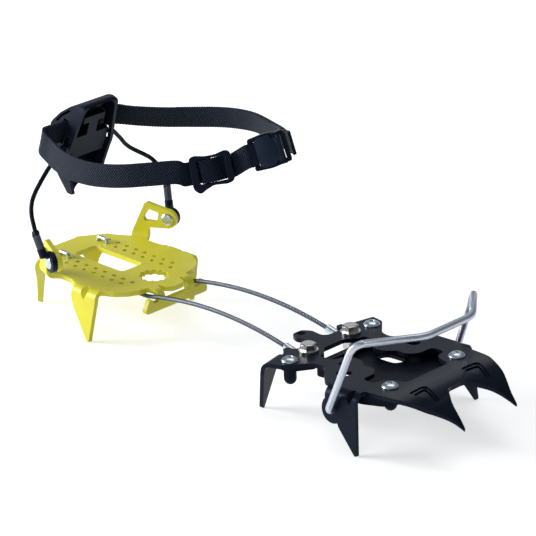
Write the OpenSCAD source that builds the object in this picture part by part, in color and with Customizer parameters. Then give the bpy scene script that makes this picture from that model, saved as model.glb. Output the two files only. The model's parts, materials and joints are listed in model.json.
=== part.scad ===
// Strap-on mountaineering crampon: a steel front plate and an aluminium heel plate linked by two
// steel cables, with a wire toe bail, a cable-slung heel lever and a webbing ankle strap.
// Millimetres. +X points to the toe, +Y to the wearer's left, +Z up, and the points stand on Z = 0.

/* [Stance] */
// Height of the front sole face over the ground, at the cable bolts
front_sole_z = 29.7; // [27:0.1:33]
// Rise of the front sole face towards the toe, in degrees
toe_pitch = 3; // [0:0.5:5]
// Height of the heel sole face over the ground
heel_sole_z = 30.2; // [27:0.1:33]
// Distance from the cable bolts back to the first adjustment hole of the heel plate
heel_setback = 133; // [120:1:150]

/* [Front plate] */
// Thickness of the front plate's steel sheet
front_t = 2.4; // [2:0.1:3]
// Inside radius of the front plate's folds
front_fold_r = 3; // [2:0.1:4]
// Half the distance between the cable bolts
bolt_y = 16.6; // [15:0.1:18]
// Reach of the front points ahead of the cable bolts
toe_reach = 110.8; // [104:0.2:118]
// Half the distance between the tips of the front points
front_tip_y = 21; // [18:0.5:24]
// Half the width over the folds of the side ears
ear_fold_y = 41; // [39:0.5:43]
// Outward lean of the side points, in degrees
side_lean = 5; // [2:0.5:8]
// Tip of the side points ahead of the cable bolts
side_tip_x = 60.6; // [58:0.2:63]
// Outward lean of the rear points of the front plate, in degrees
rear_lean = 12; // [9:0.5:14]

/* [Toe bail] */
// Diameter of the bail wire
bail_d = 4; // [3:0.1:4.4]
// Bail pivot ahead of the cable bolts
bail_x = 44.2; // [42:0.1:46]
// Bail pivot below the sole face
bail_drop = 11.4; // [10:0.1:13]
// Front bar of the bail ahead of the cable bolts
bail_bar_x = 84; // [80:0.5:90]
// Height of the front bar over the sole face
bail_bar_z = 29.6; // [26:0.2:36]
// Half the length of the front bar, to its bends
bail_bar_y = 18; // [14:0.5:24]

/* [Anti-balling pad] */
// Depth of the moulded pad under the front plate
pad_depth = 6; // [4.6:0.1:8]
// Wall of the pad
pad_wall = 2; // [1.6:0.1:2.6]
// Diameter of the studs under the pad
stud_d = 6.8; // [6.4:0.1:8]
// Length of the studs below the front plate
stud_drop = 10.6; // [9.5:0.1:12]

/* [Fasteners] */
// Head diameter of the pad screws
screw_head_d = 9; // [8:0.1:10]
// Shank diameter of the pad screws
screw_d = 4; // [3:0.1:4.6]
// Flange diameter of the cable bolts
bolt_flange_d = 11; // [10:0.1:12]
// Width across flats of the cable bolts and their nuts
bolt_hex = 8; // [7:0.1:8.6]
// Thread diameter of the cable bolts
bolt_d = 5; // [4:0.1:5.4]

/* [Link cables] */
// Diameter of the link cables
cable_d = 2.5; // [2:0.1:3]
// Thickness of the cable terminal's eye
eye_t = 2.2; // [1.6:0.1:2.6]
// Diameter of the hook wire
hook_d = 2.4; // [2:0.1:2.6]
// Adjustment hole that takes the front leg of each hook, counted from 0 at the toe end
hook_hole = 7; // [5:1:7]

/* [Heel plate] */
// Thickness of the heel plate's aluminium sheet
heel_t = 2.8; // [2.4:0.1:3.2]
// Inside radius of the heel plate's folds
heel_fold_r = 2; // [1.5:0.1:3]
// Pitch of the adjustment holes
hole_pitch = 7.25; // [6.6:0.05:7.6]
// Diameter of the adjustment holes
hole_d = 2.8; // [2.7:0.1:3.4]
// Half the distance between the inner rows of holes
inner_row_y = 14.9; // [14:0.1:16]
// Half the distance between the outer rows of holes
outer_row_y = 20.2; // [19.4:0.1:22]
// Outward lean of the heel points, in degrees
heel_lean = 3; // [1:0.5:6]
// Half the width of the heel window
window_y = 8.3; // [7:0.1:9.5]
// Diameter of the scalloped hole
scallop_d = 13; // [11:0.2:14]

/* [Heel bail] */
// Diameter of the coated heel cable
heel_cable_d = 2.5; // [2:0.1:2.8]
// Diameter of the clear sleeves on the heel cable
sleeve_d = 4.4; // [4:0.1:5]
// Rivet shank diameter
rivet_d = 3.2; // [2.6:0.1:3.8]
// Rivet head diameter
rivet_head_d = 7.2; // [6:0.1:8]
// Half the width of the lever
lever_half_w = 17; // [16.4:0.1:17.6]
// Wall of the lever
lever_wall = 2; // [1.6:0.1:2.4]
// Forward lean of the lever, in degrees
lever_lean = 17; // [12:0.5:20]
// Travel of the height carriage each way
carriage_travel = 3; // [2:0.5:3]

/* [Ankle strap] */
// Width of the webbing
strap_w = 12.5; // [11:0.1:13]
// Thickness of the webbing
strap_t = 1.4; // [1.1:0.1:1.6]

/* [Hidden] */
$fn = 48;
LEFT = 1;
RIGHT = -1;

steel_black = [0.13, 0.14, 0.16];
rubber_black = [0.07, 0.07, 0.08];
zinc = [0.80, 0.83, 0.87];
stainless = [0.70, 0.71, 0.74];
cable_grey = [0.42, 0.44, 0.48];
anodised = [0.74, 0.75, 0.15];
coating_black = [0.10, 0.10, 0.12];
sleeve_grey = [0.45, 0.48, 0.54];
plastic_black = [0.10, 0.11, 0.14];
webbing_black = [0.08, 0.09, 0.13];

// Running clearance round a pin, on the radius
run_gap = 0.05;
// Gap between pieces that move past each other
move_gap = 0.3;
// Overlap of solids that are fused in one piece
fuse = 0.02;
// Overshoot of a cut past the face that it opens
past = 1;

// Places on the front plate, from the cable bolts, on the left half
rear_screw = [1.2, 32.3];
front_screw = [65.8, 26.3];
bail_hole_lobe_r = 7.5;
crotch_x = 87.5;
point_tip_w = 1.2;

// Places on the heel plate, from its first adjustment hole, on the left half
inner_holes = 9;
outer_holes = 8;
outer_row_lag = 3.5;
heel_side_from = [-3.8, 35.6];
heel_side_to = [-22.5, 35.6];
heel_rear_from = [-60.3, 25.8];
heel_rear_to = [-70.3, 9.8];
ear_from = [-39.9, 36.2];
ear_to = [-49.6, 32.5];
guide_x = 14.7;
strut_y = [9, 14];
guide_tab_y = [18.5, 21.5];

// Reach of the heel points' folds behind the first adjustment hole
heel_tail = 73.78;
// Cable bolts ahead of the middle of the whole length
shift_x = (heel_setback + heel_tail - toe_reach * cos(toe_pitch)) / 2;

// Frames: the front plate's sole face at the cable bolts, and the heel plate's at its first hole
module front_frame() {
    translate([shift_x, 0, front_sole_z])
        rotate([0, -toe_pitch, 0]) children();
}

module heel_frame() {
    translate([shift_x - heel_setback, 0, heel_sole_z]) children();
}

module side(which) {
    if (which == LEFT) children();
    else mirror([0, 1, 0]) children();
}

module both_sides() {
    children();
    mirror([0, 1, 0]) children();
}

// Depth of the ground below the front sole face, at a distance from the cable bolts
function front_ground(x) = (front_sole_z + x * sin(toe_pitch)) / cos(toe_pitch);

function unit(v) = v / norm(v);

// Corner points [x, y, radius] turned into a polygon with round corners
function round_corner(a, b, c, r, steps) =
    let (u = unit(a - b), v = unit(c - b), half = acos(u * v) / 2,
         run = min(r / tan(half), 0.48 * min(norm(a - b), norm(c - b))), fit = run * tan(half))
    r <= 0 || half > 89 ? [b] :
    let (mid = b + unit(u + v) * fit / sin(half), from = b + u * run - mid, to = b + v * run - mid,
         start = atan2(from[1], from[0]), turn = atan2(to[1], to[0]) - start,
         sweep = turn > 180 ? turn - 360 : turn < -180 ? turn + 360 : turn)
    [for (i = [0:steps]) mid + fit * [cos(start + sweep * i / steps), sin(start + sweep * i / steps)]];

function flat(p) = [p[0], p[1]];

function rounded(points, steps = 4) =
    let (n = len(points))
    [for (i = [0:n - 1]) each round_corner(flat(points[(i + n - 1) % n]), flat(points[i]),
        flat(points[(i + 1) % n]), points[i][2], steps)];

// A left-half outline joined to its mirror image across the X axis
function both_halves(half) =
    concat(half, [for (i = [len(half) - 1:-1:0]) [half[i][0], -half[i][1], half[i][2]]]);

module slab(points, top, bottom) {
    translate([0, 0, bottom])
        linear_extrude(top - bottom) polygon(rounded(points));
}

// A straight round bar from p to q
module rod(p, q, d) {
    v = q - p;
    translate(p)
        rotate([0, acos(v[2] / norm(v)), atan2(v[1], v[0])]) cylinder(d = d, h = norm(v));
}

// Round wire through corner points, each bent at its own radius. The bends run a little way into the
// straights and are a hair thinner, so that they fuse
wire_lap = 0.06;
wire_step = 0.02;

function bend_run(a, b, c, r) = r / tan(acos(unit(a - b) * unit(c - b)) / 2);

module wire_bend(a, b, c, r, d) {
    u = unit(a - b);
    v = unit(c - b);
    half = acos(u * v) / 2;
    mid = b + unit(u + v) * r / sin(half);
    e1 = unit(b + u * r / tan(half) - mid);
    e3 = unit(cross(u, v)) * -1;
    e2 = cross(e3, e1);
    lap = wire_lap / r * 180 / PI;
    multmatrix([[e1[0], e2[0], e3[0], mid[0]], [e1[1], e2[1], e3[1], mid[1]],
                [e1[2], e2[2], e3[2], mid[2]], [0, 0, 0, 1]])
        rotate([0, 0, -lap]) rotate_extrude(angle = 180 - 2 * half + 2 * lap)
            translate([r, 0]) circle(d = d - wire_step);
}

module bent_wire(points, radii, d) {
    last = len(points) - 1;
    run = [for (i = [0:last]) i == 0 || i == last ? 0 :
        bend_run(points[i - 1], points[i], points[i + 1], radii[i])];
    for (i = [0:last - 1]) {
        way = unit(points[i + 1] - points[i]);
        rod(points[i] + way * run[i], points[i + 1] - way * run[i + 1], d);
    }
    for (i = [1:last - 1]) wire_bend(points[i - 1], points[i], points[i + 1], radii[i], d);
}

// Smooth route through hand-chosen points
function spline_point(a, b, c, d, t) =
    0.5 * (2 * b + (c - a) * t + (2 * a - 5 * b + 4 * c - d) * t * t + (3 * b - a - 3 * c + d) * t * t * t);

function spline(route, steps) =
    let (last = len(route) - 1)
    concat([for (i = [0:last - 1], s = [0:steps - 1])
        spline_point(route[max(i - 1, 0)], route[i], route[i + 1], route[min(i + 2, last)], s / steps)],
        [route[last]]);

function tangent(path, i) = unit(path[min(i + 1, len(path) - 1)] - path[max(i - 1, 0)]);

// A closed skin over rings of equal size
module skin(rings) {
    n = len(rings[0]);
    last = len(rings) - 1;
    sides = [for (i = [0:last - 1], j = [0:n - 1]) each [
        [i * n + j, i * n + (j + 1) % n, (i + 1) * n + j],
        [i * n + (j + 1) % n, (i + 1) * n + (j + 1) % n, (i + 1) * n + j]]];
    ends = [for (j = [1:n - 2]) each [[0, j + 1, j], [last * n, last * n + j, last * n + j + 1]]];
    polyhedron([for (ring = rings) each ring], concat(sides, ends), convexity = 6);
}

// A round cord along a route, with a side view kept square to a chosen direction
module cord(path, d, square_to, sides = 8) {
    skin([for (i = [0:len(path) - 1])
        let (t = tangent(path, i), u = unit(cross(square_to, t)), v = cross(t, u))
        [for (j = [0:sides - 1]) path[i] + d / 2 * (u * cos(360 * j / sides) + v * sin(360 * j / sides))]]);
}

// Upper edge of a strap, leaning to the left of its heading
function strap_up(way, lean) = let (left = unit(cross([0, 0, 1], way)))
    unit(cross(way, left)) * cos(lean) + left * sin(lean);

// Flat webbing along a route, with a lean from upright or with its upper edge held in one direction
module webbing(path, w, t, lean, held = [0, 0, 0]) {
    skin([for (i = [0:len(path) - 1])
        let (way = tangent(path, i), up = held == [0, 0, 0] ? strap_up(way, lean) : unit(held - way * (held * way)),
             out = cross(way, up))
        [for (c = [[-1, -1], [1, -1], [1, 1], [-1, 1]]) path[i] + out * t / 2 * c[0] + up * w / 2 * c[1]]]);
}

// Sheet folds: children are drawn flat, with X away from the fold line and Y along it
module flange_at(from, to) {
    d = unit(to - from);
    translate([from[0], from[1], 0])
        rotate([0, 0, atan2(-d[0], d[1])]) children();
}

// A fold starts a little way inside the plate that it leaves. It is a hair thinner and narrower, so that it fuses
root = 0.1;
fold_step = 0.02;
fold_inset = 0.05;
fold_off = 0.01;

module folded_down(r, t, angle, wide) {
    sheet = t - 2 * fold_step;
    across = wide - 2 * fold_inset;
    translate([fold_off, 0, -t - r]) {
        rotate([-90, 0, 0]) rotate([0, 0, -90])
            rotate_extrude(angle = angle) translate([r + fold_step, fold_inset]) square([sheet, across]);
        translate([-root, fold_inset, r + fold_step]) cube([root, across, sheet]);
        rotate([0, angle, 0]) translate([0, 0, r]) linear_extrude(t) children();
    }
}

module folded_up(r, t, angle, wide) {
    translate([0, 0, -t]) mirror([0, 0, 1]) folded_down(r, t, angle, wide) children();
}

// Length of a blade below its fold, for a tip on the ground
function blade_length(drop, r, t, angle) = (drop - t - r + r * cos(angle)) / sin(angle);

// Front plate
rear_fold_from = [-5, 41.5];
rear_fold_to = [-8, 28];
side_fold_front = 59.5;
side_fold_rear = 38.5;
claw_start = 75;
claw_r = 53;
claw_press = 1.5;
claw_rim_press = 0.7;
tongue_hole_d = 5;
tongue_hole_x = -20.5;

front_half = [
    [-23.6, 3.6, 3], [-18.5, 6.4, 4], [-10, 5, 4], [-7.5, 8, 2.5], [-7.5, 18.4, 2], [-13, 19.4, 0.8],
    [-13, 22.2, 1], [-9.5, 25.4, 3], [rear_fold_to[0], rear_fold_to[1], 0],
    [rear_fold_from[0], rear_fold_from[1], 0], [2, 39.8, 3], [12.5, 27.6, 8], [20, 25.6, 5],
    [27, 34, 8], [34, ear_fold_y, 5], [side_fold_front, ear_fold_y, 0], [side_fold_front, 39.2, 0.5],
    [79, 37, 20], [93, 31.2, 30], [toe_reach - 6, front_tip_y + 2.2, 20], [toe_reach, front_tip_y - 0.1, 0.4],
    [toe_reach - 0.4, front_tip_y - 1, 0.4], [98, 15.2, 25], [crotch_x + 0.5, 6.8, 3], [crotch_x, 4, 2]
];

butterfly_half = [
    [3, 8, 2], [8.5, 13.5, 2], [8.5, 17.5, 3], [18, 17.5, 3], [20, 11, 2], [25, 8, 3], [31, 8.6, 4],
    [36, 13, 3], [43, 12.6, 5], [47.5, 18, 4], [47.8, 27.8, 3], [56.5, 27.6, 3], [57.5, 20.5, 4],
    [63, 17.6, 3], [68.5, 17, 3]
];

claw_window = [[79.5, 15, 1.2], [80.5, 26, 1.2], [93.3, 20, 1.2]];
claw_rim = [[77.8, 13, 2.4], [78.6, 28.4, 2.4], [97, 20, 2.4]];

// Side view of the front sheet: flat under the sole, then curving down in the front points
module front_side_view(top, bottom) {
    sweep = asin((toe_reach + past - claw_start) / claw_r);
    steps = 12;
    function thin(z, i) = z > 0 ? z : z * (1 - 0.7 * max(0, 2 * i / steps - 1));
    function arc(z) = [for (i = [0:steps]) [claw_start, -claw_r]
        + (claw_r + thin(z, i)) * [sin(sweep * i / steps), cos(sweep * i / steps)]];
    polygon(concat([[-40, top]], arc(top), [for (i = [steps:-1:0]) arc(bottom)[i]], [[-40, bottom]]));
}

module front_sheet(top, bottom) {
    rotate([90, 0, 0])
        linear_extrude(120, center = true) front_side_view(top, bottom);
}

module front_side_blade() {
    angle = 90 - side_lean;
    depth = blade_length(front_ground(side_tip_x - point_tip_w / 2), front_fold_r, front_t, angle);
    tip_y = side_fold_front - side_tip_x;
    hole_y = side_fold_front - bail_x;
    hole_depth = (bail_drop - (front_fold_r + front_t) * (1 - cos(angle))) / sin(angle);
    polygon(rounded([[-fuse, 0, 0], [depth, tip_y - point_tip_w / 2, 0.3], [depth, tip_y + point_tip_w / 2, 0.3],
        [14.5, 11.5, 12], [11, hole_y - 3, 3], [4, hole_y + 5, 0], [-fuse, side_fold_front - side_fold_rear, 0]]));
    translate([hole_depth, hole_y]) circle(r = bail_hole_lobe_r);
}

module front_rear_blade() {
    angle = 90 - rear_lean;
    wide = norm(rear_fold_to - rear_fold_from);
    tip_x = rear_fold_from[0] - 9.6;
    depth = blade_length(front_ground(tip_x), front_fold_r, front_t, angle);
    polygon(rounded([[-fuse, 0, 0], [3, 0.3, 4], [depth, wide / 2 - 1.4, 0.3], [depth, wide / 2, 0.3],
        [4, wide - 0.3, 4], [-fuse, wide, 0]]));
}

// Groove pressed across a fold, which stiffens the point below it
module pressed_groove(along, r, t, depth) {
    translate([(r + t) * sin(45) - depth, along, -(r + t) * (1 - cos(45)) - depth])
        rotate([0, 45, 0]) rotate([45, 0, 0]) translate([-14, 0, 0]) cube([28, 9, 9]);
}

module front_flanges() {
    wide = norm(rear_fold_to - rear_fold_from);
    long = side_fold_front - side_fold_rear;
    difference() {
        flange_at([side_fold_front, ear_fold_y], [side_fold_rear, ear_fold_y])
            folded_down(front_fold_r, front_t, 90 - side_lean, long) front_side_blade();
        flange_at([side_fold_front, ear_fold_y], [side_fold_rear, ear_fold_y])
            pressed_groove(4.4, front_fold_r, front_t, 1.5);
    }
    flange_at(rear_fold_from, rear_fold_to)
        folded_down(front_fold_r, front_t, 90 - rear_lean, wide) front_rear_blade();
}

module front_plate() {
    color(steel_black) front_frame() difference() {
        union() {
            intersection() {
                front_sheet(0, -front_t);
                slab(both_halves(front_half), 40, -60);
            }
            both_sides() front_flanges();
        }
        slab(both_halves(butterfly_half), past, -front_t - past);
        both_sides() {
            for (press = [[claw_window, claw_press], [claw_rim, claw_rim_press]]) intersection() {
                slab(press[0], past, -20);
                front_sheet(past, -press[1]);
            }
            for (at = [rear_screw, front_screw])
                translate([at[0], at[1], -front_t - past]) cylinder(d = screw_d, h = front_t + 2 * past);
            translate([0, bolt_y, -front_t - past]) cylinder(d = bolt_d, h = front_t + 2 * past);
            translate([25, 18.5, -front_t - past]) cylinder(d = 3, h = front_t + 2 * past);
            slab([[31, 23.6, 3.4], [31, 31, 2], [39, 29.5, 2], [39, 23.6, 3.4]], past, -front_t - past);
        }
        translate([tongue_hole_x, 0, -front_t - past]) cylinder(d = tongue_hole_d, h = front_t + 2 * past);
        translate([bail_x, 0, -bail_drop]) rotate([90, 0, 0])
            cylinder(d = bail_d + 2 * run_gap, h = 140, center = true);
    }
}

// Anti-balling pad: a moulded tray under the front plate with a stud below each screw
pad_half = [
    [9, 14, 3], [11, 24, 4], [20, 23.6, 5], [27, 31.5, 8], [35, 37.6, 6], [56, 38, 8], [69, 33, 8],
    [74, 20, 6], [74, 8, 6]
];
pad_tray_half = [[13, 15, 4], [16, 19, 4], [24, 25, 6], [36, 33, 6], [56, 33.5, 6], [66, 20, 3], [71, 8, 4]];
pad_arm = [[-4, 29, 3], [-4, 36.4, 4], [4, 36.8, 4], [12, 25, 2], [10.5, 20, 2]];
pad_vent = [[22, 10.5, 4], [24, 18.5, 4], [39, 18.5, 4], [37, 10.5, 4]];

module stud() {
    translate([0, 0, -front_t - stud_drop + stud_d / 2]) {
        cylinder(d = stud_d, h = stud_drop - stud_d / 2);
        intersection() {
            sphere(d = stud_d);
            translate([0, 0, -stud_d]) cylinder(d = 2 * stud_d, h = stud_d + fuse);
        }
    }
}

module antiball_pad() {
    color(rubber_black) front_frame() difference() {
        union() {
            difference() {
                slab(both_halves(pad_half), -front_t, -front_t - pad_depth);
                slab(both_halves(pad_tray_half), 0, -front_t - pad_depth + pad_wall);
                both_sides() slab(pad_vent, 0, -front_t - pad_depth - past);
            }
            both_sides() {
                slab(pad_arm, -front_t, -front_t - pad_wall);
                for (at = [rear_screw, front_screw]) translate([at[0], at[1], 0]) stud();
            }
        }
        both_sides() for (at = [rear_screw, front_screw])
            translate([at[0], at[1], -screw_length]) cylinder(d = screw_d, h = screw_length);
    }
}

// Pad screws: button heads on the sole face, threaded into the studs
screw_head_h = 2.4;
screw_length = front_t + 7;
screw_socket = 3;

module pad_screw() {
    rotate_extrude() polygon([[0, -screw_length], [screw_d / 2, -screw_length], [screw_d / 2, 0],
        [screw_head_d / 2, 0], [screw_head_d / 2, 0.6], [0.42 * screw_head_d, 1.4],
        [0.3 * screw_head_d, 2.1], [0.16 * screw_head_d, screw_head_h], [0, screw_head_h]]);
}

module pad_screws() {
    color(zinc) front_frame() both_sides() for (at = [rear_screw, front_screw])
        translate([at[0], at[1], 0]) difference() {
            pad_screw();
            translate([0, 0, screw_head_h - 1.4]) cylinder(d = screw_socket, h = 2, $fn = 6);
        }
}

// Flanged cable bolts and their nuts, which clamp the cable terminals under the front plate
bolt_head_h = 5;
bolt_flange_h = 1.4;
nut_h = 3.6;
bolt_end = 0.6;
hex_corner = bolt_hex / cos(30);

module cable_bolts() {
    color(stainless) front_frame() both_sides() translate([0, bolt_y, 0]) {
        cylinder(d = bolt_flange_d, h = bolt_flange_h);
        intersection() {
            cylinder(d = hex_corner, h = bolt_head_h, $fn = 6);
            rotate_extrude() polygon([[0, 0], [hex_corner / 2, 0], [hex_corner / 2, bolt_head_h - 1],
                [0.42 * bolt_hex, bolt_head_h], [0, bolt_head_h]]);
        }
        reach = front_t + eye_t + nut_h + bolt_end;
        translate([0, 0, -reach]) cylinder(d = bolt_d, h = reach + fuse);
    }
}

module cable_nuts() {
    color(stainless) front_frame() both_sides()
        translate([0, bolt_y, -front_t - eye_t - nut_h]) difference() {
            cylinder(d = hex_corner, h = nut_h, $fn = 6);
            translate([0, 0, -past]) cylinder(d = bolt_d, h = nut_h + 2 * past);
        }
}

// Toe bail: one bent wire, its ends turned inwards through the side ears
// Stand-off of the bail's legs from the outer face of the side ears
bail_stand_off = 2;
bail_leg_y = ear_fold_y + front_fold_r + front_t + bail_d / 2 + bail_stand_off;
bail_shoulder = [60.4, 47.4, 28.4];
bail_end_in = 7.4;
bail_hip_r = 2.8;

module toe_bail() {
    half = [[bail_x, bail_leg_y - bail_d / 2 - bail_end_in, -bail_drop], [bail_x, bail_leg_y, -bail_drop],
        bail_shoulder, [bail_bar_x, bail_bar_y, bail_bar_z]];
    other = [for (i = [3:-1:0]) [half[i][0], -half[i][1], half[i][2]]];
    color(stainless) front_frame()
        bent_wire(concat(half, other), [0, bail_hip_r, 8, 14, 14, 8, bail_hip_r, 0], bail_d);
}

// Link cables: under the heel plate, up over the gap and down into the terminals at the bolts
cable_slope = 12.4;
crimp_d = 3.4;
cable_depth = heel_t + crimp_d / 2 + 0.15;
cable_dip_x = 12;
cable_dip_r = 22;
terminal_x = -8.6;
terminal_barrel = 8;
barrel_d = 4.6;
barrel_depth = 6;
crimp_length = 8;
crimp_lead = 3;
hook_rise = 2.3;
hook_tail = 2.6;

// Cable points from the cable bolts, on the left, at ground height
heel_cable_z = heel_sole_z - cable_depth;
hook_x = -heel_setback - hole_pitch * hook_hole;
crimp_x = hook_x + crimp_lead;
terminal_z = front_sole_z + terminal_x * tan(toe_pitch) - front_t - eye_t / 2;
dip_x = -heel_setback + cable_dip_x;
apex_x = (dip_x + terminal_x) / 2 + (terminal_z - heel_cable_z) / 2 / tan(cable_slope);
apex_z = heel_cable_z + (apex_x - dip_x) * tan(cable_slope);
function cable_y(x) = inner_row_y + (bolt_y - inner_row_y) * (x - crimp_x) / (terminal_x - crimp_x);
function cable_at(x, z) = [x, cable_y(x), z];
cable_front = cable_at(terminal_x, terminal_z);
cable_apex = cable_at(apex_x, apex_z);
cable_dip = cable_at(dip_x, heel_cable_z);
cable_rear = cable_at(crimp_x, heel_cable_z);
cable_way = unit(cable_apex - cable_front);
cable_bend_r = 0.94 * min(norm(cable_apex - cable_front), norm(cable_apex - cable_dip) - 4) / tan(cable_slope);

module base_frame() {
    translate([shift_x, 0, 0]) children();
}

module link_cable(which) {
    color(cable_grey) base_frame() side(which)
        bent_wire([cable_rear + [crimp_length / 2, 0, 0], cable_dip, cable_apex,
            cable_front + cable_way * (terminal_barrel - barrel_depth)],
            [0, cable_dip_r, cable_bend_r, 0], cable_d);
}

// Cable terminal: an eye clamped by the bolt and a barrel crimped on the cable
module cable_terminal(which) {
    color(zinc) side(which) difference() {
        union() {
            front_frame() translate([0, bolt_y, -front_t - eye_t]) {
                cylinder(d = bolt_flange_d - 1, h = eye_t);
                translate([terminal_x - 1, -barrel_d / 2, 0]) cube([-terminal_x, barrel_d, eye_t]);
            }
            base_frame() rod(cable_front, cable_front + cable_way * terminal_barrel, barrel_d);
        }
        front_frame() translate([0, bolt_y, -front_t - eye_t - past])
            cylinder(d = bolt_d, h = eye_t + 2 * past);
        front_frame() translate([-9, 0, -front_t]) cube([20, 40, 10]);
        base_frame() rod(cable_front + cable_way * (terminal_barrel - barrel_depth),
            cable_front + cable_way * (terminal_barrel + past), cable_d + 2 * run_gap);
    }
}

// Hook crimped on the rear end of a link cable: up through one hole and down through the next
module cable_hook(which) {
    color(zinc) base_frame() side(which)
        bent_wire([[crimp_x + crimp_length / 2, inner_row_y, heel_cable_z], [hook_x, inner_row_y, heel_cable_z],
            [hook_x, inner_row_y, heel_sole_z + hook_rise],
            [hook_x - hole_pitch, inner_row_y, heel_sole_z + hook_rise],
            [hook_x - hole_pitch, inner_row_y, heel_sole_z - heel_t - hook_tail]],
            [0, hook_d / 2 + 0.3, hook_d / 2 + 0.5, hook_d / 2 + 0.5, 0], hook_d);
}

module hook_crimp(which) {
    half = crimp_length / 2;
    color(zinc) base_frame() side(which) difference() {
        rod([crimp_x, inner_row_y, heel_cable_z], [crimp_x + crimp_length, inner_row_y, heel_cable_z], crimp_d);
        rod([crimp_x - past, inner_row_y, heel_cable_z], [crimp_x + half, inner_row_y, heel_cable_z],
            hook_d + 2 * run_gap);
        rod([crimp_x + half, inner_row_y, heel_cable_z],
            [crimp_x + crimp_length + past, inner_row_y, heel_cable_z], cable_d + 2 * run_gap);
    }
}

// Heel plate
heel_half = [
    [-70.3, 5, 3], [heel_rear_to[0], heel_rear_to[1], 0], [heel_rear_from[0], heel_rear_from[1], 0],
    [-54, 29.4, 10], [ear_to[0], ear_to[1], 0], [ear_from[0], ear_from[1], 0], [-37.6, 34, 1.5],
    [-28, 34.6, 5], [-24, 36.6, 3], [heel_side_to[0], heel_side_to[1], 0],
    [heel_side_from[0], heel_side_from[1], 0], [3, 32, 6], [8, 26.5, 6], [11, 20, 5], [11.6, 14.6, 1.5],
    [guide_x, strut_y[1], 0], [guide_x, strut_y[0], 0], [12.4, 8.5, 1.5], [19, 6, 4], [20.5, 3, 2]
];
heel_window = [[-54, window_y, 3], [-15, window_y, 3], [-15, -window_y, 3], [-54, -window_y, 3]];
scallops = 11;
scallop_at = [1.5, 0];
scallop_r = 1.9;
guide_bar_bottom = 11.4;
guide_bar_top = 6.2;

module heel_side_blade() {
    depth = blade_length(heel_sole_z, heel_fold_r, heel_t, 90 - heel_lean);
    wide = norm(heel_side_to - heel_side_from);
    polygon(rounded([[-fuse, 0, 0], [3, 0.4, 8], [depth, 4.4, 0.3], [depth, 4.4 + point_tip_w, 0.3],
        [depth * 0.36, wide - 2.6, 14], [3, wide, 6], [-fuse, wide, 0]]));
}

module heel_rear_blade() {
    depth = blade_length(heel_sole_z, heel_fold_r, heel_t, 90 - heel_lean);
    wide = norm(heel_rear_to - heel_rear_from);
    mid = wide / 2;
    polygon(rounded([[-fuse, 0, 0], [2, 0, 3], [depth * 0.4, 5.4, 16], [depth, mid - point_tip_w / 2, 0.3],
        [depth, mid + point_tip_w / 2, 0.3], [depth * 0.4, wide - 5.4, 16], [2, wide, 3], [-fuse, wide, 0]]));
}

// Upright ear, drawn from its fold: X up, Y back along the fold
ear_wide = norm(ear_to - ear_from);
rivet_up = 12.4 - heel_fold_r;
rivet_along = -11.6;
ear_end_r = 5.6;

module ear_blade() {
    difference() {
        union() {
            polygon(rounded([[-fuse, 0, 0], [2, 0.4, 2], [3.9, -0.8, 1], [rivet_up - ear_end_r, rivet_along, 0],
                [rivet_up + ear_end_r, rivet_along, 0], [19.2, 2.1, 2], [-fuse, ear_wide, 0]]));
            translate([rivet_up, rivet_along]) circle(r = ear_end_r);
        }
        polygon(rounded([[15, 0.2, 1.2], [13.6, -6.4, 1.2], [8, -5.2, 1.2], [7.6, 2.2, 1.2], [9.4, 3.3, 1]]));
    }
}

// The ear's rivet, with Z out of the ear's outer face and X back along the ear
module at_rivet(which) {
    heel_frame() side(which) flange_at(ear_from, ear_to)
        translate([heel_fold_r + heel_t + fold_off, rivet_along, heel_fold_r + rivet_up]) rotate([0, 90, 0])
            rotate([0, 0, 90]) children();
}

module guide_flange() {
    low = guide_bar_bottom - heel_fold_r - heel_t;
    top = guide_bar_top - heel_fold_r - heel_t;
    span = strut_y[1];
    half = [[low, 25.4, 2], [2.4 - heel_fold_r, 22, 1.5], [0.8 - heel_fold_r, guide_tab_y[1], 1],
        [0.8 - heel_fold_r, guide_tab_y[0], 1], [top, guide_tab_y[0], 1], [top, span, 0.4], [-fuse, span, 0],
        [-fuse, strut_y[0], 0], [top, strut_y[0], 1]];
    polygon(rounded(both_halves(half)));
}

module heel_flanges() {
    angle = 90 - heel_lean;
    difference() {
        flange_at(heel_side_from, heel_side_to)
            folded_down(heel_fold_r, heel_t, angle, norm(heel_side_to - heel_side_from)) heel_side_blade();
        flange_at(heel_side_from, heel_side_to) pressed_groove(9.2, heel_fold_r, heel_t, 1.7);
    }
    flange_at(heel_rear_from, heel_rear_to)
        folded_down(heel_fold_r, heel_t, angle, norm(heel_rear_to - heel_rear_from)) heel_rear_blade();
    flange_at(ear_from, ear_to) folded_up(heel_fold_r, heel_t, 90, ear_wide) ear_blade();
    flange_at([guide_x, strut_y[0]], [guide_x, strut_y[1]])
        folded_down(heel_fold_r, heel_t, 90, strut_y[1] - strut_y[0]);
}

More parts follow.
